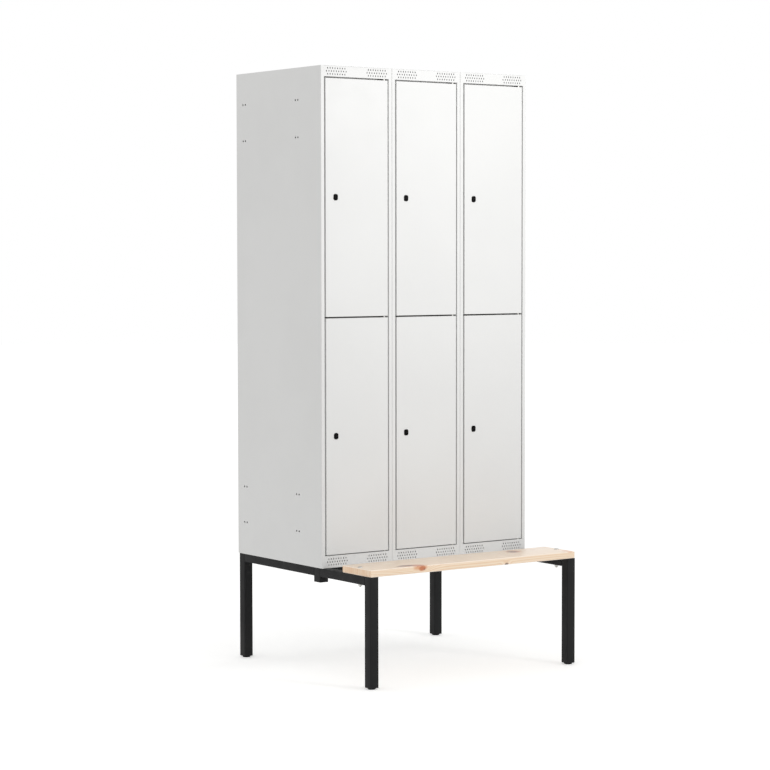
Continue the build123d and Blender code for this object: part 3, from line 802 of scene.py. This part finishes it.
def board(low, high, middle, r):
    """Board along X that fills a box, with all its edges rounded by a radius r.

    At each angle a through the rounding of an end, the outline is drawn in by r (1 - sin a) and
    stands r (1 - cos a) from the end. Each end closes on the line through its middle.
    """
    length, depth, thick = high - low
    angle = np.linspace(0, math.pi / 2, EDGE_STEPS + 1)
    inset, travel = r * (1 - np.sin(angle)), r * (1 - np.cos(angle))
    ends = [
        (rounded_box(depth - 2 * i, thick - 2 * i, r, steps=EDGE_STEPS), t)
        for i, t in zip(inset, travel)
    ]
    full = rounded_box(depth, thick, r, steps=EDGE_STEPS)
    inner = [(full, t) for t in np.linspace(2 * r, length - 2 * r, BOARD_RINGS)]
    line = ends[0][0] * (1, 0)
    far = [(outline, length - t) for outline, t in ends[::-1]]
    rings = [(line, 0), *ends, *inner, *far, (line, length)]
    return loft(rings, (low[0], middle[1], middle[2]), Y, Z, X)


class LOCKER_OT_build_seat(bpy.types.Operator):
    """Plane the pine seat board with rounded edges"""

    bl_idname = "locker.build_seat"
    bl_label = "Build the seat board"

    def execute(self, context):
        skin = board(*span("seat_board"), context.scene.locker_sizes.seat_round)
        pine = finishes()["lacquered_pine"]
        put("pine_seat_board", [skin], pine, CARCASS, "seat_pine", "seat_board")
        return {"FINISHED"}


# Bolts

# Radius and height in millimetres: the domed head above the seat with its shank, and the
# section of the washer.
BOLT_HEAD = (
    (4.0, -45.0), (4.0, 0.0), (9.0, 0.0), (9.0, 0.5), (8.7, 1.2),
    (7.4, 2.3), (5.4, 3.05), (2.8, 3.42), (0.9, 3.5),
)
WASHER = ((4.3, 0.0), (7.7, 0.0), (8.0, 0.3), (8.0, 1.3), (7.7, 1.6), (4.3, 1.6))
# Thread in millimetres: radius, depth, length, and how far its tip is drawn in and stands out;
# and its number of turns.
THREAD = (4.0, 0.25, 15.0, 0.9, 0.4)
THREAD_TURNS = 12
# Nuts in millimetres: half the width across flats, radius of the hole, and height.
SEAT_NUT, LOCK_NUT, CAM_NUT = (6.5, 4.1, 6.5), (10.4, 8.1, 5.0), (4.33, 2.5, 2.6)
# Chamfer at a nut's hole, and the slope of the cone that cuts its corners back.
NUT_MOUTH, NUT_CONE = 0.4 * MM, math.radians(30)


def nut(size, origin, across=X, up=Y, along=Z):
    """Six-sided nut round a hole, its corners cut back by a cone.

    A corner's point drops by its reach beyond the flats times the cone's slope.
    """
    flat, hole, height = mm(size)
    outline, face = hexagon(flat), circle(flat, ROUND)
    bore, mouth = circle(hole, ROUND), circle(hole + NUT_MOUTH, ROUND)
    drop = (np.linalg.norm(outline, axis=1) - flat) * math.tan(NUT_CONE)
    rings = [
        (bore, NUT_MOUTH), (mouth, 0), (face, 0), (outline, drop),
        (outline, height - drop), (face, height), (mouth, height), (bore, height - NUT_MOUTH),
    ]
    return loft(rings, origin, across, up, along, wrap=True)


def threaded_end(size, turns):
    """Bolt's end: its radius goes in and out by the thread's depth once a turn, past a tip."""
    radius, depth, length, drawn_in, tip = mm(size)
    steps = np.linspace(0, 1, 5 * turns + 1)
    wave = np.abs(np.mod(steps * turns, 1) * 2 - 1)
    rings = [(circle(radius - drawn_in, BOLT_ROUND), 0)]
    for t, w in zip(steps, wave):
        rings.append((circle(radius - depth + depth * w, BOLT_ROUND), tip + t * length))
    return capped(rings)


class LOCKER_OT_build_bolts(bpy.types.Operator):
    """Turn the seat's domed bolts with their washers, nuts and threaded ends"""

    bl_idname = "locker.build_bolts"
    bl_label = "Build the seat bolts"

    def execute(self, context):
        low, _, (_, y, _) = span("bench_bolts")
        top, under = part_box("seat_board")[1][2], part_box("bench_arm_left")[0][2]
        washer_foot = under - WASHER[-1][1] * MM
        nut_foot = washer_foot - SEAT_NUT[-1] * MM
        grids = []
        for side in SIDES:
            x = span(f"bench_leg_{side}")[2][0]
            grids += [
                loft(capped(turned(BOLT_HEAD, BOLT_ROUND)), (x, y, top)),
                loft(threaded_end(THREAD, THREAD_TURNS), (x, y, low[2])),
                loft(turned(WASHER, BOLT_ROUND), (x, y, washer_foot), wrap=True),
                nut(SEAT_NUT, (x, y, nut_foot)),
            ]
        zinc = finishes()["zinc_plated_steel"]
        put("seat_bolts", grids, zinc, CARCASS, "zinc_steel", "bench_bolts")
        return {"FINISHED"}


# Locks

# All in millimetres, depths being measured inwards from the door's front.
# Oval front: width, height and radius of its corners.
LOCK_FRONT = (18.0, 22.0, 6.5)
# Radius and depth of the barrel behind it, from the bore out.
LOCK_BARREL = ((5.55, 19.7), (7.7, 19.7), (8.0, 19.4), (8.0, 0.0))
# Inset and depth of the oval front's rounded rim, and radius and depth of its mouth.
LOCK_RIM = ((0.0, 0.0), (0.0, -0.9), (0.25, -1.6), (0.8, -2.15), (1.6, -2.42))
LOCK_MOUTH = ((6.6, -2.5), (6.2, -2.45), (5.8, -2.2), (5.55, -1.8))
# Depth of the nut on the barrel.
LOCK_NUT_DEPTH = 0.8
# Width, height and corners of the key's slot and of its lip, each with its depth, and the depth
# of the slot's floor.
SLOT, SLOT_DEPTH, SLOT_FLOOR = (1.6, 6.5, 0.6), -1.5, 2.0
LIP, LIP_DEPTH = (2.2, 7.1, 0.9), -1.9
# Radius and depth of the plug.
PLUG = ((4.9, -2.0), (5.3, -1.9), (5.5, -1.6), (5.5, 20.0))
# Cover of the key's slot: width, height and corners, thickness, depth, and its front's share of
# its back's size.
COVER, COVER_THICK, COVER_DEPTH, COVER_TAPER = (1.1, 3.0, 0.4), 0.4, -1.65, 0.9
# Cam arm behind the plug: width, length and the radius of its ends, thickness, broken edge, and
# how far its middle is below the plug's axis.
CAM, CAM_THICK, CAM_EDGE, CAM_DROP = (14.0, 52.0, 6.95), 2.0, 0.3, 19.0
# Radius and height of the screw's end that stands out of the cam.
STUD = ((2.4, 0.0), (2.4, 2.7), (2.0, 3.0))


def lock_oval(inset):
    """Outline of the oval front, drawn in by an inset in millimetres."""
    return even_box(*mm(LOCK_FRONT), inset * MM)


def lock_case(origin):
    """Oval front and barrel of a lock, open through its middle."""
    oval = lock_oval(0)
    rings = [(reach(oval, radius * MM), depth * MM) for radius, depth in LOCK_BARREL]
    rings += [(lock_oval(inset), depth * MM) for inset, depth in LOCK_RIM]
    rings += [(reach(oval, radius * MM), depth * MM) for radius, depth in LOCK_MOUTH]
    return loft(rings, origin, X, Z, Y, wrap=True)


def lock_plug(origin):
    """Plug of a lock with the slot for its key, whose floor closes on a line."""
    slot, lip = even_box(*mm(SLOT)), even_box(*mm(LIP))
    rings = [
        (slot * (0, 1), SLOT_FLOOR * MM), (slot, SLOT_FLOOR * MM),
        (slot, SLOT_DEPTH * MM), (lip, LIP_DEPTH * MM),
    ]
    rings += [(reach(slot, radius * MM), depth * MM) for radius, depth in PLUG]
    rings.append((slot * 0, PLUG[-1][1] * MM))
    return loft(rings, origin, X, Z, Y)


def key_cover(origin):
    """Small plate that closes the key's slot from within."""
    outline = rounded_box(*mm(COVER))
    rings = [(outline * COVER_TAPER, 0), (outline, COVER_THICK * MM)]
    return loft(capped(rings), origin, X, Z, Y)


def cam(origin):
    """Cam arm with round ends, the screw that holds it to the plug, and that screw's nut."""
    x, y, z = origin
    arm, cut = (rounded_box(*mm(CAM), inset, steps=8) for inset in mm((0, CAM_EDGE)))
    plate = [
        (cut, 0), (arm, CAM_EDGE * MM), (arm, (CAM_THICK - CAM_EDGE) * MM), (cut, CAM_THICK * MM),
    ]
    front = y + PLUG[-1][1] * MM
    back = (x, y + (PLUG[-1][1] + CAM_THICK) * MM, z)
    return [
        loft(capped(plate), (x, front, z - CAM_DROP * MM), X, Z, Y),
        loft(capped(turned(STUD, STUD_ROUND)), back, X, Z, Y),
        nut(CAM_NUT, back, X, Z, Y),
    ]


class LOCKER_OT_build_locks(bpy.types.Operator):
    """Mould the oval lock housings and turn their plugs, cams and nuts"""

    bl_idname = "locker.build_locks"
    bl_label = "Build the locks"

    def execute(self, context):
        made = finishes()
        nylon, zinc = made["moulded_black_nylon"], made["zinc_plated_steel"]
        black = made["blackened_key_cover"]
        for lock in (f"{bay}_{tier}" for bay in BAYS for tier in TIERS):
            leaf, turning = f"{lock}_door_leaf", f"{lock}_cam"
            x, _, z = span(f"{lock}_lock_housing")[2]
            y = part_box(f"{lock}_door")[0][1]
            ring_nut = nut(LOCK_NUT, (x, y + LOCK_NUT_DEPTH * MM, z), X, Z, Y)
            case = [lock_case((x, y, z)), ring_nut]
            cover = [key_cover((x, y + COVER_DEPTH * MM, z))]
            housing, cylinder = f"{lock}_lock_housing", f"{lock}_lock_cylinder"
            put(f"{lock}_lock_case", case, nylon, leaf, "lock_black", housing)
            put(f"{lock}_lock_plug", [lock_plug((x, y, z))], nylon, turning, "zinc_steel")
            put(f"{lock}_lock_cover", cover, black, turning, "zinc_steel")
            put(f"{lock}_lock_cam", cam((x, y, z)), zinc, turning, "zinc_steel", cylinder)
        return {"FINISHED"}


# Stage

# Width of the camera's sensor, in millimetres.
SENSOR_WIDTH = 36.0
# Radii of the floor's rings, in metres.
FLOOR_RINGS = (0.0, 1.0, 2.5, 6.0, 14.0, 30.0)


def facing(place, way, right):
    """Matrix of something at a place that looks along its own -Z, with its own X to the right."""
    turn = np.stack([right, np.cross(right, way), -np.asarray(way)], 1)
    return Matrix.Translation(place) @ Matrix(turn.tolist()).to_4x4()


def lamp(name, place, aim, size, power, spread):
    """Soft square lamp at a place, turned to its aim."""
    data = bpy.data.lights.new(name, "AREA")
    data.size, data.energy, data.spread = size, power, spread
    way = np.array(aim) - place
    way /= np.linalg.norm(way)
    right = np.cross(way, Z)
    right /= np.linalg.norm(right)
    made = bpy.data.objects.new(name, data)
    made.matrix_world = facing(place, way, right)
    bpy.context.scene.collection.objects.link(made)


class LOCKER_OT_set_stage(bpy.types.Operator):
    """Lay the floor and set the lamps, the sky and the camera"""

    bl_idname = "locker.set_stage"
    bl_label = "Set the stage"

    def execute(self, context):
        scene, stage = context.scene, context.scene.locker_stage
        heading, dip, roll = stage.camera_heading, stage.camera_dip, stage.camera_roll
        sine, cosine = math.sin(heading), math.cos(heading)
        way = np.array([sine * math.cos(dip), cosine * math.cos(dip), -math.sin(dip)])
        level = np.array([cosine, -sine, 0.0])
        right = math.cos(roll) * level + math.sin(roll) * np.cross(way, level)
        data = bpy.data.cameras.new("camera")
        data.lens, data.sensor_width = stage.lens, SENSOR_WIDTH
        camera = bpy.data.objects.new("camera", data)
        camera.matrix_world = facing(stage.camera_place, way, right)
        scene.collection.objects.link(camera)
        scene.camera = camera

        for name in ("key", "side"):
            kinds = ("place", "aim", "size", "power", "spread")
            lamp(name, *(getattr(stage, f"{name}_{kind}") for kind in kinds))

        rings = [(circle(radius, FLOOR_ROUND), 0) for radius in FLOOR_RINGS]
        mesh = mesh_of("studio_floor", [loft(rings)])
        mesh.materials.append(studio_floor("studio_floor", stage))
        floor = bpy.data.objects.new("studio_floor", mesh)
        scene.collection.objects.link(floor)

        scene.world = bpy.data.worlds.new("studio")
        scene.world.use_nodes = True
        tree = scene.world.node_tree
        tree.nodes.clear()
        strength = node(tree, "MapRange", {}, [seen_ray(tree), 0.0, 1.0, stage.sky, 1.0])
        light = node(tree, "Background", {}, {"Color": (1, 1, 1, 1), "Strength": strength})
        node(tree, "OutputWorld", {}, [light])
        scene.view_settings.view_transform = "Standard"
        return {"FINISHED"}


OPERATORS = (
    LOCKER_OT_paint_frame,
    LOCKER_OT_build_stand,
    LOCKER_OT_build_feet,
    LOCKER_OT_build_seat,
    LOCKER_OT_build_bolts,
    LOCKER_OT_build_locks,
    LOCKER_OT_set_stage,
)
GROUPS = {
    "locker_finish": LockerFinish,
    "locker_sizes": LockerSizes,
    "locker_stage": LockerStage,
}


class LOCKER_PT_panel(bpy.types.Panel):
    """Buttons and settings of the locker in the sidebar"""

    bl_idname = "LOCKER_PT_panel"
    bl_label = "Locker with bench"
    bl_space_type = "VIEW_3D"
    bl_region_type = "UI"
    bl_category = "Locker"

    def draw(self, context):
        for operator in OPERATORS:
            self.layout.operator(operator.bl_idname)
        for group in GROUPS:
            settings = getattr(context.scene, group)
            for key in type(settings).__annotations__:
                self.layout.prop(settings, key)


def register():
    """Add the classes and the scene's settings."""
    for made in (*GROUPS.values(), *OPERATORS, LOCKER_PT_panel):
        bpy.utils.register_class(made)
    for name, group in GROUPS.items():
        setattr(bpy.types.Scene, name, bpy.props.PointerProperty(type=group))


def unregister():
    """Take the settings and the classes away again."""
    for name in GROUPS:
        delattr(bpy.types.Scene, name)
    for made in (LOCKER_PT_panel, *OPERATORS[::-1], *GROUPS.values()):
        bpy.utils.unregister_class(made)


def main():
    """Build everything in order."""
    register()
    for operator in OPERATORS:
        group, name = operator.bl_idname.split(".")
        getattr(getattr(bpy.ops, group), name)()


if __name__ == "__main__":
    main()
